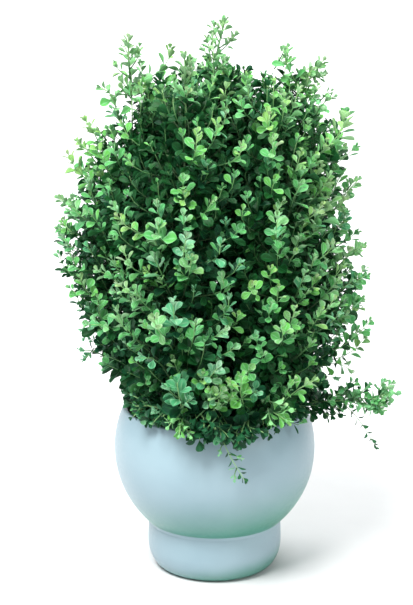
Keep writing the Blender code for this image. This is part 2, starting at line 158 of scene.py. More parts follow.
# Sprigs that stand out of the crown: the foot and the tip of each as (direction in degrees, distance from the
# pot's axis, height), its leaves' length, its age and its tone
YOUNG, MIDDLING, OLD = 0.20, 0.50, 0.95
YELLOWISH, GREEN, BLUISH = 0.0, 0.45, 1.0
SPRIGS = (
    ((210, 0.040, 0.372), (200, 0.090, 0.384), 0.0100, YOUNG, GREEN),
    ((-90, 0.025, 0.380), (-95, 0.020, 0.420), 0.0095, YOUNG, GREEN),
    ((-15, 0.040, 0.388), (-10, 0.055, 0.412), 0.0100, YOUNG, GREEN),
    ((-15, 0.065, 0.368), (-8, 0.090, 0.376), 0.0090, YOUNG, GREEN),
    ((-15, 0.085, 0.320), (-10, 0.100, 0.338), 0.0090, YOUNG, GREEN),
    ((-15, 0.090, 0.295), (-10, 0.110, 0.314), 0.0095, YOUNG, GREEN),
    ((-15, 0.085, 0.270), (-10, 0.102, 0.289), 0.0090, MIDDLING, GREEN),
    ((-12, 0.092, 0.250), (-10, 0.115, 0.264), 0.0095, YOUNG, GREEN),
    ((-12, 0.095, 0.230), (-10, 0.118, 0.240), 0.0095, MIDDLING, GREEN),
    ((-12, 0.095, 0.215), (-10, 0.114, 0.220), 0.0090, YOUNG, GREEN),
    ((195, 0.075, 0.335), (190, 0.100, 0.360), 0.0090, YOUNG, YELLOWISH),
    ((195, 0.080, 0.325), (190, 0.105, 0.343), 0.0090, YOUNG, YELLOWISH),
    ((190, 0.095, 0.286), (190, 0.120, 0.300), 0.0095, YOUNG, GREEN),
    ((190, 0.095, 0.270), (190, 0.121, 0.277), 0.0095, MIDDLING, GREEN),
    ((190, 0.090, 0.240), (190, 0.117, 0.243), 0.0095, MIDDLING, GREEN),
    ((195, 0.082, 0.206), (190, 0.104, 0.197), 0.0090, MIDDLING, BLUISH),
    ((195, 0.080, 0.186), (190, 0.106, 0.181), 0.0090, MIDDLING, BLUISH),
    ((-105, 0.096, 0.146), (-105, 0.107, 0.178), 0.0145, 0.55, BLUISH),
    ((-105, 0.097, 0.160), (-105, 0.102, 0.138), 0.0100, 0.55, YELLOWISH),
    ((-95, 0.088, 0.160), (-95, 0.095, 0.142), 0.0130, OLD, BLUISH),
    ((-90, 0.088, 0.156), (-89, 0.097, 0.134), 0.0135, OLD, BLUISH),
    ((-84, 0.088, 0.150), (-80, 0.098, 0.130), 0.0130, OLD, BLUISH),
    ((-78, 0.090, 0.150), (-74, 0.099, 0.136), 0.0120, OLD, BLUISH),
    ((-78, 0.100, 0.155), (-50, 0.112, 0.175), 0.0110, 0.35, YELLOWISH),
    ((-72, 0.098, 0.162), (-60, 0.106, 0.146), 0.0110, 0.55, YELLOWISH),
    ((-88, 0.096, 0.152), (-88, 0.106, 0.174), 0.0110, 0.45, YELLOWISH),
    ((-82, 0.096, 0.152), (-80, 0.107, 0.183), 0.0110, 0.40, YELLOWISH),
    ((-126, 0.080, 0.152), (-132, 0.090, 0.150), 0.0085, OLD, BLUISH),
    ((-118, 0.082, 0.150), (-116, 0.092, 0.143), 0.0085, OLD, BLUISH),
)

# The outlying branches, as points (direction in degrees, distance from the pot's axis, height)
STEM_RADIUS = 0.0008
SLEEVE_RADIUS = 0.0014
SLEEVE_TAPER = 0.75
LOW_BRANCH = (
    (-20, 0.046, 0.124),
    (-20, 0.0525, 0.133),
    (-20, 0.068, 0.1385),
    (-20, 0.090, 0.143),
    (-20, 0.108, 0.146),
    (-20, 0.126, 0.150),
    (-19, 0.142, 0.154),
)
HANGING_TWIGS = (((-24, 0.108, 0.145), (-20, 0.132, 0.111)), ((-20, 0.130, 0.148), (-19, 0.135, 0.138)))
TRAILER = (
    (-80, 0.046, 0.124),
    (-80, 0.050, 0.134),
    (-81, 0.062, 0.1425),
    (-87, 0.080, 0.1450),
    (-88, 0.0925, 0.139),
    (-84, 0.0965, 0.122),
    (-77, 0.0975, 0.101),
)

# Pot and moss
TURN_STEPS = 160
FILLET_BELOW, FILLET_ABOVE = 0.0024, 0.0030  # how far the glaze fillet reaches down the foot and up the globe
FILLET_BEND = 0.0012  # how far out its hollow lies from the globe
FILLET_DEPTH = 0.0016
GLAZE_PROUD = 0.00005
MOSS_BLADES = 2600
BLADE_HALF_WIDTH = 0.00035
SPIKE_CLEARANCE = 0.0052  # from a spike's axis to the nearest blade

# Camera, room and lights
CAMERA_PLACE = (-0.0065, -1.1, 0.453)
CAMERA_DOWN = 12.21  # degrees
LENS = 85.4
FLOOR_SIDE, FLOOR_FRONT, FLOOR_BACK, WALL_TOP = 4.0, -3.0, 1.6, 4.0
COVE_STEPS = 14
SKY, SKY_STRENGTH = (0.90, 0.96, 1.0, 1.0), 0.50
LIGHTS = (  # name, place, aim, size, power, colour
    ("key", (-0.60, -1.00, 1.90), (0, 0, 0.22), 1.0, 82, (1.0, 1.0, 1.0)),
    ("fill", (1.3, -1.3, 1.0), (0, 0, 0.25), 1.2, 10, (0.97, 1.0, 0.97)),
    ("wall_wash", (0, 0.9, 2.2), (0, 2.4, 0.7), 1.6, 90, (1.0, 1.0, 1.0)),
)

PICKS = sorted(b for b in frame["bodies"] if b.startswith("pick_"))
rng = np.random.default_rng(SEED)


# ---- places taken from the frame


def centre_of(node):
    low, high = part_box(node)
    return (low + high) / 2


def size_of(node):
    low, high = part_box(node)
    return high - low


def reach_of(node):
    """The node's furthest distance from the pot's axis."""
    found = [v.co for v in frame["nodes"][node].data.vertices]
    return max(hypot(co.x, co.y) for co in found)


SPRAYS = ("spray_low", "spray_middle", "spray_top")
RIM_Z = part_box("bowl")[1].z
BOWL_RADIUS = size_of("bowl").x / 2
RIM_RADIUS = max(hypot(v.co.x, v.co.y) for v in frame["nodes"]["bowl"].data.vertices if v.co.z > RIM_Z - 1e-4)
FOOT_TOP_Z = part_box("foot_ring")[1].z
COVER_TOP_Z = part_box("moss_cover")[1].z
CROWN_RADIUS = max(reach_of(f"{pick}_spray_middle") for pick in PICKS)
CROWN_CENTRE_Z = centre_of(f"{PICKS[0]}_spray_middle").z
CROWN_TOP_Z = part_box("core_spray_top")[1].z + 0.004
CROWN_BASE_Z = COVER_TOP_Z
LEVEL_Z = [
    (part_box(f"{PICKS[0]}_spray_low")[1].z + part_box(f"{PICKS[0]}_spray_middle")[0].z) / 2,
    (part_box(f"{PICKS[0]}_spray_middle")[1].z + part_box(f"{PICKS[0]}_spray_top")[0].z) / 2,
]


def wire_knots(pick):
    """Points up a pick's wire, from its root to its top."""
    top_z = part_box(f"{pick}_stem")[1].z
    if pick == "core":
        return np.array([(0, 0, COVER_TOP_Z), (0, 0, top_z)])
    root = centre_of(f"{pick}_spike")
    knots = [(root.x, root.y, COVER_TOP_Z)]
    knots += [tuple(centre_of(f"{pick}_{spray}")) for spray in SPRAYS]
    return np.array([*knots, (*knots[-1][:2], top_z)])


WIRES = {pick: wire_knots(pick) for pick in [*PICKS, "core"]}
PICK_ANGLES = {pick: atan2(WIRES[pick][1][1], WIRES[pick][1][0]) for pick in PICKS}


def on_wire(pick, z):
    knots = WIRES[pick]
    z = min(max(z, knots[0][2]), knots[-1][2])
    return np.array([np.interp(z, knots[:, 2], knots[:, i]) for i in range(3)])


def polar(angle, radius, height):
    """A point from its direction in radians, its distance from the pot's axis and its height."""
    return np.array((radius * cos(angle), radius * sin(angle), height))


def around(direction, radius, height):
    """The same with the direction in degrees."""
    return polar(radians(direction), radius, height)


# ---- node materials


class Shader:
    """A Principled material with nodes added by short calls."""

    def __init__(self, name, roughness=0.5, **sockets):
        self.material = bpy.data.materials.new(name)
        self.material.use_nodes = True
        self.tree = self.material.node_tree
        self.bsdf = self.tree.nodes["Principled BSDF"]
        self.bsdf.inputs["Roughness"].default_value = roughness
        for socket, value in sockets.items():
            self.bsdf.inputs[socket.replace("_", " ")].default_value = value

    def node(self, kind, inputs=None, **settings):
        made = self.tree.nodes.new(kind)
        for name, value in settings.items():
            setattr(made, name, value)
        for name, value in (inputs or {}).items():
            self.feed(made.inputs[name], value)
        return made

    def feed(self, socket, value):
        if isinstance(value, bpy.types.NodeSocket):
            self.tree.links.new(value, socket)
        else:
            socket.default_value = value

    def math(self, operation, a, b=0.0, c=0.0):
        made = self.tree.nodes.new("ShaderNodeMath")
        made.operation = operation
        for socket, value in zip(made.inputs, (a, b, c)):
            self.feed(socket, value)
        return made.outputs[0]

    def times(self, a, b):
        return self.math("MULTIPLY", a, b)

    def plus(self, a, b):
        return self.math("ADD", a, b)

    def minus(self, a, b):
        return self.math("SUBTRACT", a, b)

    def ramp(self, value, low, high, to_low=0.0, to_high=1.0):
        """value moved smoothly from low..high to to_low..to_high."""
        made = self.node("ShaderNodeMapRange", interpolation_type="SMOOTHSTEP")
        for socket, v in zip(made.inputs, (value, low, high, to_low, to_high)):
            self.feed(socket, v)
        return made.outputs[0]

    def colours(self, value, stops):
        made = self.node("ShaderNodeValToRGB", {"Fac": value})
        ramp = made.color_ramp
        while len(ramp.elements) < len(stops):
            ramp.elements.new(0.5)
        for element, (place, colour) in zip(ramp.elements, stops):
            element.position = place
            element.color = (*colour, 1.0)
        return made.outputs["Color"]

    def mix(self, share, a, b, blend="MIX"):
        made = self.node("ShaderNodeMix", data_type="RGBA", blend_type=blend)
        self.feed(made.inputs[0], share)
        for socket, value in ((made.inputs[6], a), (made.inputs[7], b)):
            self.feed(socket, (*value, 1.0) if isinstance(value, tuple) else value)
        return made.outputs[2]

    def noise(self, scale, detail=3.0, vector=None, roughness=0.5):
        """Noise at scale, per metre of the object's own coordinates unless vector is given."""
        where = vector or self.node("ShaderNodeTexCoord").outputs["Object"]
        made = self.node("ShaderNodeTexNoise", {"Vector": where, "Scale": scale, "Detail": detail})
        made.inputs["Roughness"].default_value = roughness
        return made.outputs["Fac"]

    def place(self):
        """The object's own coordinates, as separate sockets."""
        where = self.node("ShaderNodeTexCoord").outputs["Object"]
        return self.node("ShaderNodeSeparateXYZ", {"Vector": where}).outputs

    def attribute(self, name):
        read = self.node("ShaderNodeAttribute", attribute_name=name)
        return self.node("ShaderNodeSeparateXYZ", {"Vector": read.outputs["Vector"]}).outputs

    def base(self, colour):
        self.feed(self.bsdf.inputs["Base Color"], colour)

    def rough(self, value):
        self.feed(self.bsdf.inputs["Roughness"], value)

    def bump(self, height, distance, strength=1.0):
        made = self.node("ShaderNodeBump", {"Height": height, "Distance": distance, "Strength": strength})
        self.feed(self.bsdf.inputs["Normal"], made.outputs["Normal"])


def leaf_material():
    s = Shader("leaf", Specular_IOR_Level=0.28)
    across, along, side = s.attribute("leaf_place")
    tone, age_and_shade, _ = s.attribute("leaf_kind")
    width = s.math("ABSOLUTE", across)
    yellow, green, blue, painted_shade, pale = (s.colours(age_and_shade, list(zip(AGE_AND_SHADE_PLACES, family))) for family in LEAF_COLOURS)
    colour = s.mix(s.ramp(tone, 0.05, 0.45), yellow, green)
    colour = s.mix(s.ramp(tone, 0.55, 0.95), colour, blue)
    where = s.node("ShaderNodeCombineXYZ", {"X": across, "Y": along, "Z": s.times(tone, 17.0)})
    mottle = s.noise(3.1, 4.0, where.outputs["Vector"], 0.6)
    light = s.ramp(mottle, 0.35, 0.75, 0.0, 0.20)
    # Painted shade: darker in the middle of a leaf, away from its edges and most towards its base
    middle = s.times(s.ramp(width, 0.15, 0.75, 1.0, 0.0), s.ramp(along, 0.35, 0.95, 1.0, 0.25))
    colour = s.mix(s.times(middle, 0.36), colour, painted_shade)
    # Painted highlight: paler towards the leaf's edges
    light = s.plus(light, s.times(s.ramp(width, 0.60, 1.0), 0.55))
    rib = s.times(s.ramp(width, 0.02, 0.15, 1.0, 0.0), s.ramp(along, 0.70, 1.0, 0.40, 0.0))
    light = s.plus(light, rib)
    light = s.plus(light, s.ramp(along, 0.0, 0.20, 0.35, 0.0))
    under = s.ramp(side, -0.6, -0.1, 0.35, 0.0)
    light = s.math("MINIMUM", s.plus(light, under), 0.85)
    s.base(s.mix(light, colour, pale))
    s.rough(s.plus(s.ramp(mottle, 0.2, 0.8, 0.40, 0.56), s.times(under, 0.3)))
    slant = s.minus(s.times(along, 7.0), s.times(width, 2.4))
    veins = s.ramp(s.math("PINGPONG", slant, 0.5), 0.02, 0.14)
    height = s.plus(s.times(veins, 0.5), s.ramp(width, 0.0, 0.14, 0.0, 0.9))
    height = s.plus(height, s.times(mottle, 0.8))
    s.bump(height, 0.00022, 0.8)
    return s.material


def twig_material():
    """Pale green towards a twig's end, dark where it leaves the wire, and darker with painted shade the deeper
    it lies in the crown.
    """
    s = Shader("twig", Specular_IOR_Level=0.35)
    along, shade, _ = s.attribute("twig_kind")
    # Painted shade: darker the deeper the twig lies in the crown
    place = s.minus(along, s.times(shade, 0.75))
    stops = ((0.0, (0.010, 0.045, 0.012)), (0.45, (0.06, 0.20, 0.055)), (1.0, (0.30, 0.52, 0.20)))
    colour = s.colours(place, stops)
    fibre = s.noise(900.0, 3.0)
    s.base(s.mix(s.ramp(fibre, 0.35, 0.7, 0.0, 0.22), colour, (0.34, 0.48, 0.24)))
    s.rough(s.ramp(fibre, 0.3, 0.7, 0.42, 0.6))
    s.bump(fibre, 0.0002, 0.6)
    return s.material


def glaze_material(name, shade_low, shade_high, shade_strength):
    """Pale blue-grey satin glaze, with painted shade and green reflected light that deepen from the upper
    height given down to the lower one, and towards +X.
    """
    s = Shader(name, Specular_IOR_Level=0.45)
    s.bsdf.inputs["Coat Weight"].default_value = 0.18
    s.bsdf.inputs["Coat Roughness"].default_value = 0.30
    x, _, z = s.place()
    cloud = s.noise(16.0, 4.0)
    # Painted shade and green reflected light, deepest low on the glaze and towards +X
    height = s.plus(z, s.times(s.minus(cloud, 0.5), 0.008))
    height = s.minus(height, s.times(x, 0.16))
    painted_green_shade = s.math("POWER", s.ramp(height, shade_low, shade_high, 1.0, 0.0), 1.5)
    painted_green_shade = s.times(painted_green_shade, shade_strength)
    colour = s.mix(s.ramp(cloud, 0.35, 0.7), (0.245, 0.350, 0.400), (0.275, 0.382, 0.430))
    colour = s.mix(painted_green_shade, colour, (0.035, 0.220, 0.150))
    speck = s.noise(950.0, 2.0)
    colour = s.mix(s.ramp(speck, 0.70, 0.80, 0.0, 0.16), colour, (0.34, 0.45, 0.46))
    s.base(colour)
    fine = s.noise(320.0, 5.0)
    s.rough(s.ramp(fine, 0.25, 0.75, 0.34, 0.46))
    slow = s.noise(38.0, 2.0)
    s.bump(s.plus(s.times(fine, 0.20), slow), 0.00035, 0.5)
    return s.material


def plastic_material(name, colour, lighter, roughness):
    """Moulded plastic with a fine grain and scuffs."""
    s = Shader(name)
    grain, scuff = s.noise(1400.0, 3.0), s.noise(60.0, 5.0, roughness=0.65)
    s.base(s.mix(s.ramp(scuff, 0.45, 0.75, 0.0, 0.8), colour, lighter))
    s.rough(s.plus(s.ramp(scuff, 0.3, 0.7, roughness - 0.08, roughness + 0.10), s.times(grain, 0.06)))
    s.bump(grain, 0.00012, 0.6)
    return s.material


def cement_material():
    s = Shader("cement")
    lumps, grit = s.noise(70.0, 6.0), s.noise(1200.0, 4.0, roughness=0.7)
    colour = s.mix(s.ramp(lumps, 0.3, 0.7), (0.27, 0.26, 0.24), (0.42, 0.41, 0.38))
    s.base(s.mix(s.ramp(grit, 0.55, 0.72, 0.0, 0.5), colour, (0.14, 0.13, 0.12)))
    s.rough(s.ramp(grit, 0.3, 0.7, 0.82, 0.97))
    s.bump(s.plus(lumps, grit), 0.0009, 0.9)
    return s.material


def foam_material():
    s = Shader("dry_foam")
    where = s.node("ShaderNodeTexCoord").outputs["Object"]
    cells = s.node("ShaderNodeTexVoronoi", {"Scale": 1500.0, "Vector": where})
    depth = cells.outputs["Distance"]
    dust = s.noise(90.0, 5.0)
    colour = s.mix(s.ramp(depth, 0.1, 0.6), (0.075, 0.17, 0.08), (0.035, 0.085, 0.04))
    s.base(s.mix(s.ramp(dust, 0.5, 0.8, 0.0, 0.35), colour, (0.15, 0.26, 0.13)))
    s.rough(s.ramp(dust, 0.2, 0.8, 0.88, 1.0))
    s.bump(depth, 0.0006, 0.9)
    return s.material


def moss_material(name, dark, light):
    s = Shader(name)
    tuft, fibre = s.noise(120.0, 5.0), s.noise(2400.0, 3.0)
    colour = s.mix(s.ramp(tuft, 0.3, 0.7), dark, light)
    s.base(s.mix(s.ramp(fibre, 0.5, 0.8, 0.0, 0.4), colour, (0.12, 0.14, 0.05)))
    s.rough(s.ramp(fibre, 0.2, 0.8, 0.8, 0.98))
    s.bump(s.plus(tuft, s.times(fibre, 0.4)), 0.0012, 0.9)
    return s.material


# ---- objects


def placed(name, data):
    """A new object in the scene from a mesh, a light or a camera."""
    obj = bpy.data.objects.new(name, data)
    bpy.context.scene.collection.objects.link(obj)
    return obj


def mesh_object(name, points, corners, sizes, material, sharp_degrees=45):
    """A mesh from arrays: points, every face's corners in one row, and each face's number of corners."""
    mesh = bpy.data.meshes.new(name)
    mesh.vertices.add(len(points))
    mesh.vertices.foreach_set("co", np.asarray(points, np.float32).ravel())
    mesh.loops.add(len(corners))
    mesh.loops.foreach_set("vertex_index", np.asarray(corners, np.int32))
    mesh.polygons.add(len(sizes))
    starts = np.concatenate([[0], np.cumsum(sizes)[:-1]])
    mesh.polygons.foreach_set("loop_start", starts.astype(np.int32))
    mesh.update(calc_edges=True)
    mesh.shade_smooth()
    mesh.set_sharp_from_angle(angle=radians(sharp_degrees))
    mesh.materials.append(material)
    return placed(name, mesh)


def set_attribute(obj, name, values):
    layer = obj.data.attributes.new(name, "FLOAT_VECTOR", "POINT")
    layer.data.foreach_set("vector", np.asarray(values, np.float32).ravel())


# ---- leaves


def leaf_half_width(t, breadth):
    """A spoon-shaped outline: a narrow base, widest past the middle, and a round tip."""
    swell = sin(pi * t**1.62)
    return breadth / 2 * swell ** (1.05 if t < 0.65 else 0.60)


def leaf_form(detail, breadth, cup, curl, twist):
    """A unit-length leaf along +X, its upper face to +Z: points, faces, places on the leaf and map points."""
    rows, columns = detail
    points, places, maps = [], [], []

    def add(t, across, side):
        w = leaf_half_width(t, breadth)
        lift = cup * w * across**2 + curl * t**2
        body = LEAF_THICKNESS / 2 * side * (1 - across**2) * sqrt(sin(pi * min(t, 0.97)))
        roll = twist * t
        y, z = across * w, lift + body
        points.append((t, y * cos(roll) - z * sin(roll), y * sin(roll) + z * cos(roll)))
        places.append((across, t, side))
        maps.append((0.25 + across * w * 0.4, t))
        return len(points) - 1

    base = add(0.0, 0.0, 0)
    border = {s: [add(t, s, 0) for t in rows] for s in (-1.0, 1.0)}
    faces = []
    for side in (1, -1):
        inner = {s: [add(t, s, side) for t in rows] for s in columns[1:-1]}
        lines = [border[-1.0], *(inner[s] for s in columns[1:-1]), border[1.0]]
        if side == 1:
            tip = add(1.0, 0.0, 0)
        for left, right in zip(lines, lines[1:]):
            strip = [(base, right[0], left[0])]
            strip += [(left[i], right[i], right[i + 1], left[i + 1]) for i in range(len(rows) - 1)]
            strip.append((left[-1], right[-1], tip))
            faces += [(face if side == -1 else face[::-1], side) for face in strip]
    return np.array(points), faces, np.array(places), np.array(maps)


def leaf_arrays(form):
    """A leaf form as arrays: points, corners, face sizes, places, and each corner's map point."""
    points, faces, places, maps = form
    corners = np.array([c for face, _ in faces for c in face])
    sizes = np.array([len(face) for face, _ in faces])
    shift = np.array([0.0 if side == 1 else 0.5 for face, side in faces for _ in face])
    on_map = maps[corners] + np.stack([shift, np.zeros_like(shift)], axis=1)
    return points, corners, sizes, places, on_map


def leaf_forms():
    """The fine forms of a leaf, then the same ones in coarse."""
    made = []
    for detail in (FINE, COARSE):
        for i in range(LEAF_FORMS):
            breadth = 0.54 + 0.22 * i / (LEAF_FORMS - 1)
            cup = 0.30 + 0.50 * ((i * 2) % LEAF_FORMS) / LEAF_FORMS
            curl = -0.10 + 0.24 * ((i * 5) % LEAF_FORMS) / LEAF_FORMS
            made.append(leaf_arrays(leaf_form(detail, breadth, cup, curl, 0.16 * (-1) ** i)))
    return made


def unit(v):
    return v / np.maximum(np.linalg.norm(v, axis=-1, keepdims=True), 1e-9)


def leaves_object(name, leaves, material):
    """One mesh from leaves: (place, direction, upper face's normal, length, form, tone step, step of ageing and
    painted shade).
    """
    made = []
    count = 0
    for number, (points, corners, sizes, places, on_map) in enumerate(FORMS):
        mine = [leaf for leaf in leaves if leaf[4] == number]
        if not mine:
            continue
        at, x, up = (np.array([leaf[i] for leaf in mine]) for i in range(3))
        length = np.array([leaf[3] for leaf in mine])
        steps = np.array([leaf[5:7] for leaf in mine])
        x = unit(x)
        y = unit(np.cross(up, x))
        axes = np.stack([x, y, np.cross(x, y)], axis=1) * length[:, None, None]
        n, v = len(mine), len(points)
        kinds = np.stack([steps[:, 0] / (TONES - 1), steps[:, 1] / (AGE_AND_SHADE_STEPS - 1), np.zeros(n)], axis=1)
        cells = (on_map * 0.96 + 0.02)[None] + steps[:, None, :]
        made.append((
            (np.einsum("vi,nij->nvj", points, axes) + at[:, None]).reshape(-1, 3),
            (corners[None] + (count + np.arange(n) * v)[:, None]).ravel(),
            np.tile(sizes, n),
            np.tile(places, (n, 1)),
            np.repeat(kinds, v, axis=0),
            (cells / (TONES, AGE_AND_SHADE_STEPS)).reshape(-1, 2),
        ))
        count += n * v
    points, corners, sizes, places, kinds, maps = (np.concatenate(part) for part in zip(*made))
    obj = mesh_object(name, points, corners, sizes, material)
    set_attribute(obj, "leaf_place", places)
    set_attribute(obj, "leaf_kind", kinds)
    layer = obj.data.uv_layers.new(name="OFBake")
    layer.uv.foreach_set("vector", maps.astype(np.float32).ravel())
    return obj


# ---- twigs


def bent(start, way_out, way_in, end, steps=TWIG_STEPS):
    """Points on a curve that leaves start along way_out and reaches end along way_in."""
    pull = np.linalg.norm(end - start) / 2.6
    t = np.linspace(0, 1, steps)[:, None]
    a, b = start + unit(way_out) * pull, end - unit(way_in) * pull
    return (1 - t) ** 3 * start + 3 * t * (1 - t) ** 2 * a + 3 * t**2 * (1 - t) * b + t**3 * end


def any_side(tangent):
    """A direction across the tangent, turned at random."""
    first = np.cross(tangent, (0.3, -0.5, 0.81))
    first = unit(first)
    turn = rng.uniform(0, 2 * pi)
    return first * cos(turn) + np.cross(tangent, first) * sin(turn)


def leaf_pair(at, tangent, side, length, spread, tone, age_and_shade, coarse):
    """Two opposite leaves, leaning out from the twig by spread, with their upper faces to its end."""
    found = []
    for sign in (1, -1):
        lean = spread + rng.normal(0, LEAF_SCATTER)
        out = unit(side * sign + np.cross(tangent, side) * rng.normal(0, LEAF_SCATTER))
        direction = tangent * cos(lean) + out * sin(lean)
        face = tangent * sin(lean) - out * cos(lean)
        face = unit(face + np.cross(direction, face) * rng.normal(0, FACE_SCATTER) + np.array((0, 0, 0.10)))
        size = length * rng.uniform(0.90, 1.10)
        tone_step = int(np.clip(round(tone * (TONES - 1) + rng.normal(0, 0.7)), 0, TONES - 1))
        age_and_shade_step = int(np.clip(round(age_and_shade * (AGE_AND_SHADE_STEPS - 1) + rng.normal(0, 0.22)), 0, AGE_AND_SHADE_STEPS - 1))
        form = int(rng.integers(LEAF_FORMS)) + (LEAF_FORMS if coarse else 0)
        found.append((at + out * TWIG_RADIUS * 0.6, direction, face, size, form, tone_step, age_and_shade_step))
    return found


def grow_twig(path, leaf_length, age_and_shade, tone, leafy):
    """A twig's leaves: pairs that cross each other from its end back down, growing and ageing on the way, and
    darker with painted shade deeper in the crown.
    """
    steps = np.linalg.norm(np.diff(path, axis=0), axis=1)
    along = np.concatenate([[0], np.cumsum(steps)])
    whole = along[-1]

    def point(where):
        return np.array([np.interp(where, along, path[:, i]) for i in range(3)])

    side = any_side(unit(path[-1] - path[-2]))
    leaves, back, pair = [], FIRST_PAIR_BACK, 0
    spacing = rng.uniform(*PAIR_SPACING)
    while back < min(leafy, whole * LEAFY_SHARE):
        where = whole - back
        at = point(where)
        tangent = unit(point(min(where + 0.002, whole)) - point(where - 0.002))
        side = unit(np.cross(tangent, side))
        near_end = pair < len(TIP_SCALES)
        scale = TIP_SCALES[pair] if near_end else rng.uniform(0.94, 1.06)
        spread = TIP_SPREADS[pair] if near_end else SPREAD
        depth = depth_in_crown(at)
        # Painted shade: the deeper inside the crown a leaf lies, the darker its colours
        aged_and_shaded = min(age_and_shade + AGE_PER_PAIR * pair + SHADE_INSIDE * min(depth / DEPTH_OF_SHADE, 1.0), 1.0)
        coarse = depth > COARSE_SHARE * DEPTH_OF_SHADE
        leaves += leaf_pair(at, tangent, side, leaf_length * scale, spread, tone, aged_and_shaded, coarse)
        back += spacing * TIP_SPACINGS[pair] if near_end else spacing
        pair += 1
    return leaves


class Growth:
    """The leaves and twigs of one spray, gathered and then made into its two meshes."""

    def __init__(self, body, name, nodes):
        self.body, self.name, self.nodes, self.leaves, self.twigs = body, name, nodes, [], []

    def add(self, path, age_and_shade, tone, length=None, leafy=LEAFY_LENGTH, radius=TWIG_RADIUS):
        length = length or rng.uniform(*LEAF_LENGTH)
        self.leaves += grow_twig(path, length, age_and_shade, tone, leafy)
        self.twigs.append((path, radius))

    def make(self):
        leaves = leaves_object(f"{self.name}.leaves", self.leaves, LEAF)
        twigs = twigs_object(f"{self.name}.twigs", self.twigs)
        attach(leaves, self.body)
        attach(twigs, self.body)
        if self.nodes:
            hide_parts(*self.nodes)


def twigs_object(name, twigs, taper=0.5):
    """One mesh of tapered round twigs with closed ends."""
    turn = np.arange(TWIG_SIDES) * 2 * pi / TWIG_SIDES
    points, kinds, corners, sizes, count = [], [], [], [], 0
    for path, radius in twigs:
        tangent = unit(np.gradient(path, axis=0))
        first = unit(np.cross(tangent, (0.31, -0.52, 0.79)))
        second = np.cross(tangent, first)
        share = np.linspace(0, 1, len(path))
        size = radius * (1.0 - taper * share)
        ring = first[:, None] * np.cos(turn)[None, :, None] + second[:, None] * np.sin(turn)[None, :, None]
        points.append((path[:, None] + ring * size[:, None, None]).reshape(-1, 3))
        shade = np.clip([depth_in_crown(at) / DEPTH_OF_SHADE for at in path], 0, 1)
        kinds.append(np.repeat(np.stack([share, shade, np.zeros(len(path))], axis=1), TWIG_SIDES, axis=0))
        n = len(path)
        for i in range(n - 1):
            for j in range(TWIG_SIDES):
                k = (j + 1) % TWIG_SIDES
                low, high = count + i * TWIG_SIDES, count + (i + 1) * TWIG_SIDES
                corners += [low + j, low + k, high + k, high + j]
        sizes += [4] * ((n - 1) * TWIG_SIDES)
        corners += [count + j for j in reversed(range(TWIG_SIDES))]
        corners += [count + (n - 1) * TWIG_SIDES + j for j in range(TWIG_SIDES)]
        sizes += [TWIG_SIDES, TWIG_SIDES]
        count += n * TWIG_SIDES
    obj = mesh_object(name, np.concatenate(points), np.array(corners), np.array(sizes), TWIG, 60)
    set_attribute(obj, "twig_kind", np.concatenate(kinds))
    return obj


# ---- the crown


def crown_radius(z):
    """A round crown's outline, with fuller shoulders than a ball's."""
    if z >= CROWN_CENTRE_Z:
        share, power = (z - CROWN_CENTRE_Z) / (CROWN_TOP_Z - CROWN_CENTRE_Z), 2.7
    else:
        share, power = (CROWN_CENTRE_Z - z) / (CROWN_CENTRE_Z - CROWN_BASE_Z), 3.0
    return CROWN_RADIUS * max(1 - min(share, 1.0) ** power, 0.0) ** (1 / power)


def bumps(z, angle):
    """What the crown's bumps and hollows add to its reach at a height and in a direction."""
    added = 0.0
    for direction, height, reach, wide, tall in BUMPS:
        turn = math.degrees(math.remainder(angle - radians(direction), 2 * pi))
        added += reach * math.exp(-((turn / wide) ** 2) - ((z - height) / tall) ** 2)
    return added


def depth_in_crown(at):
    """How far inside the crown's surface a point lies, from 0 at the surface."""
    reach, angle = hypot(at[0], at[1]), atan2(at[1], at[0])
    up = (CROWN_TOP_Z if at[2] > CROWN_CENTRE_Z else CROWN_BASE_Z - 0.03) - CROWN_CENTRE_Z
    across = CROWN_RADIUS + bumps(at[2], angle)
    share = (abs(reach / across) ** 2.7 + abs((at[2] - CROWN_CENTRE_Z) / up) ** 2.7) ** (1 / 2.7)
    return max(1 - share, 0.0) * CROWN_RADIUS


def crown_spots(count):
    """Evenly spread spots on the crown's surface: (distance from the axis, height, angle, outward normal)."""
    z = CROWN_BASE_Z + (CROWN_TOP_Z - CROWN_BASE_Z) * (1 - np.cos(np.linspace(0, pi, 400))) / 2
    r = np.array([crown_radius(h) for h in z])
    step = np.hypot(np.diff(z), np.diff(r))
    area = np.concatenate([[0], np.cumsum(step * (r[1:] + r[:-1]) / 2)])
    found = []
    for i in range(count):
        at = (i + 0.5) / count * area[-1]
        radius, height = np.interp(at, area, r), np.interp(at, area, z)
        slope = np.interp(at, area, np.gradient(r, z))
        angle = i * GOLDEN_ANGLE + rng.normal(0, 0.05)
        lean = atan2(-slope, 1.0)
        found.append((radius, height, angle, polar(angle, cos(lean), sin(lean))))
    return found


def nearest_pick(angle, radius):
    if radius < CORE_REACH:
        return "core"
    return min(PICKS, key=lambda p: abs(math.remainder(angle - PICK_ANGLES[p], 2 * pi)))


def node_for(pick, z):
    """The spray of a twig that ends at a height. The lowest stay with the insert, clear of the rim."""
    return COLLAR if z < COLLAR_TOP_Z else f"{pick}_{SPRAYS[sum(z > edge for edge in LEVEL_Z)]}"


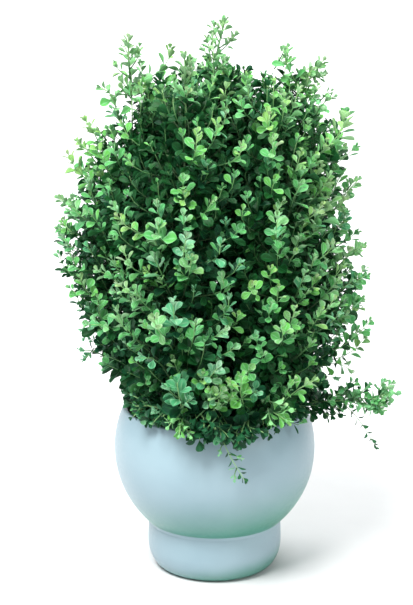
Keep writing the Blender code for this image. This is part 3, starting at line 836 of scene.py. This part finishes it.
def freshness(angle, z):
    """0 where a sprig is young and yellow-green, to 1 where it is old and dark. It wanders round the crown."""
    front = max(cos(angle + 1.35), 0.0)
    left_foot = max(-cos(angle + 0.7), 0.0) * (z < CROWN_CENTRE_Z)
    half = (CROWN_TOP_Z if z > CROWN_CENTRE_Z else CROWN_BASE_Z) - CROWN_CENTRE_Z
    ends = min(abs((z - CROWN_CENTRE_Z) / half), 1.0)
    wander = 0.15 * sin(3 * angle + 21 * z) + 0.12 * sin(5 * angle - 37 * z)
    mean = 0.30 - 0.32 * front * (1 - ends) + 0.18 * ends + 0.22 * left_foot
    return float(np.clip(mean + wander + rng.normal(0, 0.15), 0.0, 1.0))


def tone_of(angle, z, big):
    """0 for a yellow-green sprig, to 1 for a blue-green one. Low, left and large leaves are bluer."""
    low = (CROWN_CENTRE_Z - z) / (CROWN_CENTRE_Z - CROWN_BASE_Z)
    left = max(-cos(angle + 0.7), 0.0)
    lean = 0.38 + 0.26 * low - 0.10 * cos(angle) + 0.40 * left * max(low, 0.0) + 0.18 * big
    return float(np.clip(lean + rng.normal(0, 0.26), 0.0, 1.0))


def kept_in(end):
    """A twig's end, moved in to where its leaves stay within the size that the crown may have."""
    low, high = np.array(CAD_BOX[0])[:2] - END_MARGIN, np.array(CAD_BOX[1])[:2] + END_MARGIN
    return np.array((*np.clip(end[:2], low, high), end[2]))


def grown_length(big):
    return rng.uniform(*(BIG_LEAF_LENGTH if big else LEAF_LENGTH))


def fill_crown(growths):
    """The crown's twigs, layer by layer inwards, each from the wire nearest to its end."""
    centre, upward = np.array((0, 0, CROWN_CENTRE_Z)), np.array((0, 0, 1.0))
    for layer, (count, share) in enumerate(LAYERS):
        shrink = np.array((share, share, 1 - (1 - share) * 0.7))
        for radius, z, angle, normal in crown_spots(count):
            proud = rng.uniform(*(PROUD if layer == 0 and rng.random() < PROUD_SHARE else SUNK))
            spot = polar(angle, max(radius + bumps(z, angle), 0.004), z)
            end = kept_in(centre + (spot - centre) * shrink + normal * proud)
            end[2] = max(end[2], RIM_Z + 0.004)
            end_angle, end_radius = atan2(end[1], end[0]), hypot(end[0], end[1])
            pick = nearest_pick(end_angle, end_radius)
            rise = rng.uniform(*RISE) * (1.4 if pick == "core" else 1.0)
            start = on_wire(pick, max(end[2] - rise, RIM_Z + 0.012))
            if np.linalg.norm(end - start) < SHORTEST_TWIG:
                continue
            outward = unit(np.array((end[0] - start[0], end[1] - start[1], 0.0)) + 1e-6)
            low = np.clip((CROWN_CENTRE_Z - 0.03 - end[2]) / 0.10, 0, 1)
            way_out = outward + upward * rng.uniform(0.2, 1.1)
            way_in = normal * rng.uniform(0.35, 0.8) + upward * (rng.uniform(0.7, 1.5) - 1.2 * low)
            path = bent(start, way_out, way_in + rng.normal(0, 0.22, 3), end)
            age_and_shade = freshness(end_angle, end[2])
            big = rng.random() < 0.10 + 0.25 * layer + 0.35 * low
            length = grown_length(big)
            growth = growths[node_for(pick, end[2])]
            growth.add(path, min(age_and_shade + 0.15 * big, 1.0), tone_of(end_angle, end[2], big), length)


def fill_core(growths):
    """Leaves round the middle wire in the darkest colours, as painted shade, which close the view through the
    crown.
    """
    for spray in SPRAYS:
        node = f"core_{spray}"
        low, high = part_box(node)
        reach = size_of(node).x / 2
        count = int(CORE_TWIGS_PER_METRE * (high.z - low.z))
        for i in range(count):
            angle, z = i * GOLDEN_ANGLE, low.z + (high.z - low.z) * (i + 0.5) / count
            outward = polar(angle, 1.0, 0.0)
            end = outward * reach * rng.uniform(0.6, 0.95) + (0, 0, z)
            start = np.array((0, 0, max(z - rng.uniform(0.012, 0.025), RIM_Z)))
            path = bent(start, outward + (0, 0, 0.4), outward + (0, 0, 0.6), end)
            # 0.95: the darkest colours, painted shade
            growths[node].add(path, 0.95, rng.uniform(0.2, 0.8), grown_length(True))


def make_crown():
    growths = {COLLAR: Growth("insert", COLLAR, ())}
    for pick in [*PICKS, "core"]:
        for spray in SPRAYS:
            node = f"{pick}_{spray}"
            growths[node] = Growth("insert" if pick == "core" else pick, node, (node,))
    fill_crown(growths)
    fill_core(growths)
    drape_rim(growths[COLLAR])
    add_sprigs(growths)
    for body in ["core", *PICKS]:
        top = WIRES[body][-1]
        rosette(growths[f"{body}_spray_top"], top - (0, 0, 0.006), np.array((0, 0, 1.0)), 6, 0.014, 0.30)
    for growth in growths.values():
        growth.make()


def rim_twig(growth, end, angle, start_z, way_out, way_in, ages, tones, leafy):
    """A twig over or inside the rim. The ways are (outward, upward), and ages and tones are ranges."""
    start = on_wire(nearest_pick(angle, math.inf), start_z)
    path = bent(start, polar(angle, *way_out), polar(angle, *way_in), end)
    length = grown_length(rng.random() < 0.6)
    growth.add(path, rng.uniform(*ages), rng.uniform(*tones), length, leafy)


def drape_rim(growth):
    """Low sprigs that hang over the rim, most of them in front, and a collar of leaves inside it."""
    for i in range(DRAPE_TWIGS):
        angle = i * GOLDEN_ANGLE
        front = cos(angle - DRAPE_ANGLE)
        if front < 0.62 and (i % 2 or cos(angle - radians(205)) > 0.2):
            continue
        hang = max((front - 0.84) / 0.16, 0.0)
        drop = rng.uniform(0.0, 0.014) * hang
        radius = BOWL_RADIUS + rng.uniform(-0.004, 0.004) + rng.uniform(0.004, 0.010) * hang
        end = polar(angle, radius, RIM_Z + 0.006 - drop)
        start_z = RIM_Z + rng.uniform(0.014, 0.034)
        rim_twig(growth, end, angle, start_z, (1.0, 0.35), (0.6, -0.8), (0.80, 1.0), (0.6, 1.0), 0.06)
    for i in range(COLLAR_TWIGS):
        angle = i * GOLDEN_ANGLE
        radius, z = RIM_RADIUS - rng.uniform(-0.001, 0.018), RIM_Z + rng.uniform(0.002, 0.024)
        start_z = RIM_Z + rng.uniform(-0.004, 0.010)
        end = polar(angle, radius, z)
        rim_twig(growth, end, angle, start_z, (1.0, 0.2), (1.0, 0.5), (0.5, 0.9), (0.5, 1.0), 0.05)


def rosette(growth, at, along, count, reach, age_and_shade):
    """Short twigs round a point of a wire, leaning out from it."""
    first = any_side(along)
    second = np.cross(along, first)
    for i in range(count):
        turn = i * GOLDEN_ANGLE
        side = first * cos(turn) + second * sin(turn)
        start = at + along * rng.uniform(-0.35, 0.15) * reach
        end = start + (side * rng.uniform(0.5, 0.9) + along * rng.uniform(0.5, 1.0)) * reach
        path = bent(start, side + along * 0.8, along + side * 0.3, end)
        growth.add(path, age_and_shade, rng.uniform(0.1, 0.7), leafy=reach * 1.2)


def make_tip(body):
    """A sprig that stands out of the top of a pick, with short side twigs low on it."""
    growth = Growth(body, f"{body}_leaves", (f"{body}_leaves", f"{body}_stem"))
    foot, centre = np.array(centre_of(f"{body}_stem")), np.array(centre_of(f"{body}_leaves"))
    along = unit(centre - foot)
    start = foot - along * size_of(f"{body}_stem").length / 2 * 0.96
    end = centre + along * size_of(f"{body}_leaves").length / 2 * 0.62
    sway = any_side(along) * 0.10
    growth.add(bent(start, along + sway, along - sway, end), 0.10, 0.45, 0.0100, 0.055, TWIG_RADIUS * 1.7)
    length = np.linalg.norm(end - start)
    for i in range(5):
        at = start + (end - start) * (0.08 + 0.12 * i)
        side = any_side(along)
        tip = at + along * rng.uniform(0.3, 0.45) * length + side * rng.uniform(0.2, 0.36) * length
        growth.add(bent(at, side + along, along + side * 0.3, tip), 0.15, 0.45, 0.0092, length * 0.35)
    growth.make()


def on_line(line, share):
    return line[round(share * (len(line) - 1))]


def side_twigs(growth, line, shares, length, spread, age_and_shade, leaf_length):
    """Short twigs to all sides of a stretch of a branch."""
    for share in shares:
        at, ahead = on_line(line, share), on_line(line, min(share + 0.1, 1.0))
        along = unit(ahead - at) if share < 1.0 else unit(at - on_line(line, 0.9))
        side = any_side(along)
        tip = at + (along * rng.uniform(0.3, 0.9) + side * rng.uniform(*spread)) * length
        path = bent(at, side + along * 0.5, along + side * 0.5, tip)
        growth.add(path, rng.uniform(*age_and_shade), 0.5, leaf_length, length)


def make_low_branch():
    """The low branch: a thin stem out of the foam, two bunches of leaves, and a twig that hangs from it."""
    line = np.array(rounded([around(*knot) for knot in LOW_BRANCH], 8))
    inner, outer = line[: 2 * len(line) // 3], line[2 * len(line) // 3 - 1:]
    growth = Growth("low_branch", "low_branch_spray_inner", ("low_branch_spray_inner", "low_branch_stem"))
    growth.add(inner, 0.45, 0.5, 0.0088, 0.030, STEM_RADIUS)
    side_twigs(growth, inner, np.linspace(0.60, 1.0, 18), 0.014, (0.4, 1.0), (0.55, 1.0), 0.0100)
    growth.make()
    growth = Growth("low_branch", "low_branch_spray_tip", ("low_branch_spray_tip",))
    growth.add(outer, 0.45, 0.4, 0.0086, 0.030, STEM_RADIUS * 0.6)
    side_twigs(growth, outer, np.linspace(0.0, 0.35, 8), 0.012, (0.5, 0.9), (0.5, 0.9), 0.0090)
    side_twigs(growth, outer, np.linspace(0.42, 0.80, 14), 0.012, (0.5, 1.0), (0.30, 0.70), 0.0092)
    for foot, tip in HANGING_TWIGS:
        start, end = around(*foot), around(*tip)
        reach = np.linalg.norm(end - start)
        down = unit(end - start)
        path = bent(start, down + (0.3, 0, 0), down - (0.1, 0, 0), end)
        growth.add(path, 0.95, 0.6, 0.0062, reach, TWIG_RADIUS * 0.6)
    growth.make()


def make_trailer():
    """The thin sprig in front, which arches over the rim and hangs aslant outside the globe."""
    line = np.array(rounded([around(*knot) for knot in TRAILER], 6))
    growth = Growth("trailer", "trailer_spray", ("trailer_spray", "trailer_stem"))
    growth.add(line, 0.92, 0.7, 0.0066, 0.030, STEM_RADIUS * 0.7)
    for share, turn in ((0.76, 1.0), (0.84, -1.0), (0.92, 1.0)):
        at, ahead = on_line(line, share), on_line(line, share + 0.06)
        along = unit(ahead - at)
        side = unit(np.cross(along, (0, -1.0, 0))) * turn
        path = bent(at, side + along, along + side * 0.4, at + along * 0.007 + side * 0.006)
        growth.add(path, 0.6, 0.6, 0.0062, 0.007)
    growth.make()


def make_stems():
    """The picks' plastic stems: as thick as the wire and its sleeve at the foot, and thin at the top."""
    for body, line in WIRES.items():
        path = np.array(rounded(list(line), 6))
        stem = twigs_object(f"{body}_stem.sleeve", [(path, SLEEVE_RADIUS)], SLEEVE_TAPER)
        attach(stem, "insert" if body == "core" else body)
        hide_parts(f"{body}_stem")


def add_sprigs(growths):
    """The sprigs that stand out of the crown or hang from its foot, each from the wire nearest to it."""
    for foot, tip, length, age_and_shade, tone in SPRIGS:
        start_at, end = around(*foot), kept_in(around(*tip))
        pick = nearest_pick(radians(tip[0]), tip[1])
        start = on_wire(pick, max(foot[2] - 0.020, RIM_Z + 0.004))
        heading = unit(end - start_at)
        outward = unit(np.array((end[0], end[1], 0.0)))
        path = bent(start, outward + heading * 0.4, heading, end)
        reach = np.linalg.norm(end - start_at)
        growth = growths[node_for(pick, end[2])]
        growth.add(path, age_and_shade, tone, length, reach * 1.3, TWIG_RADIUS * 1.3)
        for share, turn in ((0.35, 1.0), (0.60, -1.0)):
            at = start_at + (end - start_at) * share
            side = unit(np.cross(heading, outward + (0.01, 0.02, 0))) * turn
            fork = at + heading * 0.009 + side * 0.008
            growth.add(bent(at, heading + side, heading + side * 0.5, fork), age_and_shade, tone, length * 0.85, 0.009)


# ---- the pot


def turned(name, outline, material):
    """A solid of revolution from an outline of (radius, height) that starts and ends on the axis."""
    bm = bmesh.new()
    line = [bm.verts.new((r, 0, z)) for r, z in outline]
    edges = [bm.edges.new(pair) for pair in zip(line, line[1:])]
    turn = {"axis": (0, 0, 1), "cent": (0, 0, 0), "angle": 2 * pi, "steps": TURN_STEPS}
    bmesh.ops.spin(bm, geom=line + edges, use_merge=True, **turn)
    bmesh.ops.remove_doubles(bm, verts=bm.verts, dist=1e-6)
    bmesh.ops.recalc_face_normals(bm, faces=bm.faces)
    mesh = bpy.data.meshes.new(name)
    bm.to_mesh(mesh)
    bm.free()
    mesh.shade_smooth()
    mesh.set_sharp_from_angle(angle=radians(40))
    mesh.materials.append(material)
    return placed(name, mesh)


def between(a, b, t_a, t_b, t):
    """The value at t on the straight line through a at t_a and b at t_b."""
    return a * (t_b - t) / (t_b - t_a) + b * (t - t_a) / (t_b - t_a)


def rounded(points, count):
    """A smooth line through points, count to each span, that doesn't overshoot where they are close."""
    p = [2 * points[0] - points[1], *points, 2 * points[-1] - points[-2]]
    found = []
    for a, b, c, d in zip(p, p[1:], p[2:], p[3:]):
        t0 = 0.0
        t1 = t0 + sqrt(np.linalg.norm(b - a))
        t2 = t1 + sqrt(np.linalg.norm(c - b))
        t3 = t2 + sqrt(np.linalg.norm(d - c))
        for t in t1 + (t2 - t1) * np.arange(count) / count:
            ab, bc, cd = between(a, b, t0, t1, t), between(b, c, t1, t2, t), between(c, d, t2, t3, t)
            abc, bcd = between(ab, bc, t0, t2, t), between(bc, cd, t1, t3, t)
            found.append(between(abc, bcd, t1, t2, t))
    return [*found, points[-1]]


def outline_of(node):
    """A turned CAD node's outline, as (radius, height) in order, from its mesh's edges over +X."""
    mesh = frame["nodes"][node].data
    over_x = [abs(v.co.y) < 1e-5 and v.co.x > 1e-4 for v in mesh.vertices]
    keys = [(round(v.co.x, 5), round(v.co.z, 5)) if over_x[v.index] else None for v in mesh.vertices]
    near = {}
    for edge in mesh.edges:
        a, b = (keys[i] for i in edge.vertices)
        if a and b and a != b:
            near.setdefault(a, set()).add(b)
            near.setdefault(b, set()).add(a)
    line = [min(k for k, others in near.items() if len(others) == 1)]
    while True:
        onward = [k for k in near[line[-1]] if k not in line]
        if not onward:
            return [np.array(k) for k in line]
        line.append(min(onward, key=lambda k: math.dist(k, line[-1])))


def glazed(node, material):
    """A turned CAD node again, with a finer surface, and its edges softened as glaze softens them."""
    line = outline_of(node)
    obj = turned(f"{node}.glaze", [(0.0, line[0][1]), *rounded(line, 8), (0.0, line[-1][1])], material)
    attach(obj, "pot")
    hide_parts(node)


def reach_at(line, z):
    """How far from the axis an outline's outer side lies at a height."""
    spans = [ends for ends in zip(line, line[1:]) if ends[0][1] != ends[1][1]]
    spans = [(a, b) for a, b in spans if min(a[1], b[1]) <= z <= max(a[1], b[1])]
    return max(a[0] + (b[0] - a[0]) * (z - a[1]) / (b[1] - a[1]) for a, b in spans)


def seat_fillet(material):
    """The hollow fillet of glaze that closes the joint between the globe and its foot."""
    globe, foot = outline_of("bowl"), outline_of("foot_ring")
    low, high = FOOT_TOP_Z - FILLET_BELOW, FOOT_TOP_Z + FILLET_ABOVE
    under = np.array((reach_at(foot, low) + GLAZE_PROUD, low))
    over = np.array((reach_at(globe, high) + GLAZE_PROUD, high))
    bend = np.array((reach_at(globe, FOOT_TOP_Z) + FILLET_BEND, FOOT_TOP_Z + 0.0003))
    shares = np.linspace(0, 1, 9)
    curve = [under * (1 - t) ** 2 + bend * 2 * t * (1 - t) + over * t**2 for t in shares]
    inside = [over - (FILLET_DEPTH, 0.0), under - (FILLET_DEPTH, 0.0)]
    fillet = turned("seat_fillet.glaze", [*curve, *inside, curve[0]], material)
    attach(fillet, "pot")


# ---- moss


def make_moss(material):
    """Curled blades of moss all over the cover, clear of the picks' spikes."""
    low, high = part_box("moss_cover")
    reach = (high.x - low.x) / 2 - 0.001
    spikes = [centre_of(f"{b}_spike") for b in [*PICKS, "low_branch", "trailer"]] + [Vector((0, 0, 0))]
    points, corners, sizes, count = [], [], [], 0
    for i in range(MOSS_BLADES):
        at = polar(i * GOLDEN_ANGLE, reach * sqrt((i + 0.5) / MOSS_BLADES), high.z - 0.0004)
        if any(hypot(at[0] - s.x, at[1] - s.y) < SPIKE_CLEARANCE for s in spikes):
            continue
        turn, lean = rng.uniform(0, 2 * pi), rng.uniform(0.3, 1.3)
        way = np.array((cos(turn) * sin(lean), sin(turn) * sin(lean), cos(lean)))
        side = unit(np.cross(way, (0, 0, 1.0))) * BLADE_HALF_WIDTH
        length = rng.uniform(0.0014, 0.0030)
        curl = np.array((0, 0, -length * 0.35))
        knots = [at, at + way * length * 0.5, at + way * length + curl]
        thick = np.cross(side, way) * 0.6
        for j, knot in enumerate(knots):
            taper = 1.0 - 0.4 * j
            points += [knot - side * taper, knot + side * taper, knot + thick * taper]
        for j in range(2):
            for k in range(3):
                m = (k + 1) % 3
                corners += [count + 3 * j + k, count + 3 * j + m, count + 3 * j + 3 + m, count + 3 * j + 3 + k]
        corners += [count + 2, count + 1, count, count + 6, count + 7, count + 8]
        sizes += [4] * 6 + [3, 3]
        count += 9
    obj = mesh_object("moss_blades", np.array(points), np.array(corners), np.array(sizes), material, 70)
    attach(obj, "insert")


# ---- everything else


def dress(node, material):
    """Gives a CAD node a material of the scene's own."""
    for slot in frame["nodes"][node].material_slots:
        slot.material = material


def dress_frame():
    spike = plastic_material("spike_plastic", (0.030, 0.10, 0.040), (0.06, 0.15, 0.07), 0.50)
    for name in frame["nodes"]:
        if name.endswith("_spike"):
            dress(name, spike)
    dress("liner_cup", plastic_material("liner_plastic", (0.010, 0.013, 0.012), (0.030, 0.034, 0.032), 0.55))
    dress("ballast", cement_material())
    dress("foam_core", foam_material())
    dress("moss_cover", moss_material("moss_mat", (0.012, 0.022, 0.008), (0.035, 0.050, 0.018)))


def area_light(name, place, aim, size, power, colour):
    data = bpy.data.lights.new(name, "AREA")
    data.shape = "DISK"
    data.size = size
    data.energy = power
    data.color = colour
    light = placed(name, data)
    light.location = place
    light.rotation_euler = (Vector(aim) - Vector(place)).to_track_quat("-Z", "Y").to_euler()


def make_floor():
    """A pale floor that curves up behind into a wall."""
    bm = bmesh.new()
    line = [(FLOOR_FRONT, 0.0), (FLOOR_BACK, 0.0)]
    quarter = np.linspace(0, pi / 2, COVE_STEPS)[1:]
    line += [(FLOOR_BACK + sin(a), 1 - cos(a)) for a in quarter]
    line.append((FLOOR_BACK + 1.0, WALL_TOP))
    rows = [[bm.verts.new((x, y, z)) for x in (-FLOOR_SIDE, FLOOR_SIDE)] for y, z in line]
    for a, b in zip(rows, rows[1:]):
        bm.faces.new((a[0], a[1], b[1], b[0]))
    mesh = bpy.data.meshes.new("floor")
    bm.to_mesh(mesh)
    bm.free()
    mesh.shade_smooth()
    shader = Shader("floor", 0.9)
    shader.base(shader.mix(shader.noise(30.0, 4.0), (0.64, 0.64, 0.64), (0.68, 0.68, 0.68)))
    mesh.materials.append(shader.material)
    placed("floor", mesh)


def make_lights():
    world = bpy.data.worlds.new("studio")
    bpy.context.scene.world = world
    world.use_nodes = True
    sky = world.node_tree.nodes["Background"].inputs
    sky["Color"].default_value = SKY
    sky["Strength"].default_value = SKY_STRENGTH
    for light in LIGHTS:
        area_light(*light)
    bpy.context.scene.view_settings.view_transform = "Standard"


def make_camera():
    data = bpy.data.cameras.new("camera")
    data.sensor_width = 36
    data.lens = LENS
    camera = placed("camera", data)
    camera.location = CAMERA_PLACE
    camera.rotation_euler = (radians(90 - CAMERA_DOWN), 0, 0)
    bpy.context.scene.camera = camera


LEAF = leaf_material()
TWIG = twig_material()
FORMS = leaf_forms()

make_crown()
for tip in sorted(b for b in frame["bodies"] if b.startswith("tip_")):
    make_tip(tip)
make_low_branch()
make_trailer()
make_stems()
dress_frame()
glazed("bowl", glaze_material("globe_glaze", FOOT_TOP_Z - 0.004, FOOT_TOP_Z + 0.056, 1.0))
FOOT_GLAZE = glaze_material("foot_glaze", 0.0, 0.020, 0.85)
glazed("foot_ring", FOOT_GLAZE)
seat_fillet(FOOT_GLAZE)
make_moss(moss_material("moss_blade", (0.020, 0.040, 0.012), (0.060, 0.085, 0.025)))
make_floor()
make_lights()
make_camera()
